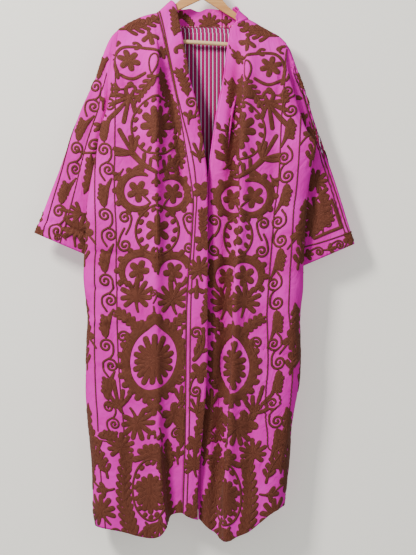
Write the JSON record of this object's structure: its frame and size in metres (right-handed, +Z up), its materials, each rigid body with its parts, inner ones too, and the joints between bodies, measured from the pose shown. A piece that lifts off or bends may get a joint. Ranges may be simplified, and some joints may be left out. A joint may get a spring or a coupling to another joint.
{
  "type": "long embroidered jacket on a wooden coat hanger",
  "caption": "Long open-front embroidered cotton jacket with wide sleeves, hanging on a flat wooden hanger with a round bar and a wire hook.",
  "frame": {"origin": "the point inside the top of the hook that rests on the rail or nail", "axes": "+Z up, -Y out of the front of the garment, +X towards the wearer's left, which is the right of the picture"},
  "size_m": [0.782, 0.0903, 1.4383],
  "materials": {
    "pink_cotton": "soft matte cotton with raised brown chain stitch",
    "striped_lining": "smooth cotton with lengthwise stripes",
    "brown_thread": "matte chain-stitched cotton thread, used by the embroidery of the visual mesh",
    "beech": "clear satin lacquer",
    "pale_beech": "clear satin lacquer",
    "bright_steel": "polished"
  },
  "bodies": {
    "root": {"front_right": "pink_cotton", "front_left": "pink_cotton", "band_right": "pink_cotton", "band_left": "pink_cotton", "band_back": "pink_cotton", "back": "pink_cotton", "back_lining": "striped_lining", "sleeve_right": "pink_cotton", "sleeve_left": "pink_cotton", "hanger_wood": "beech", "hanger_bar": "pale_beech", "hanger_hook": "bright_steel"}
  },
  "joints": []
}
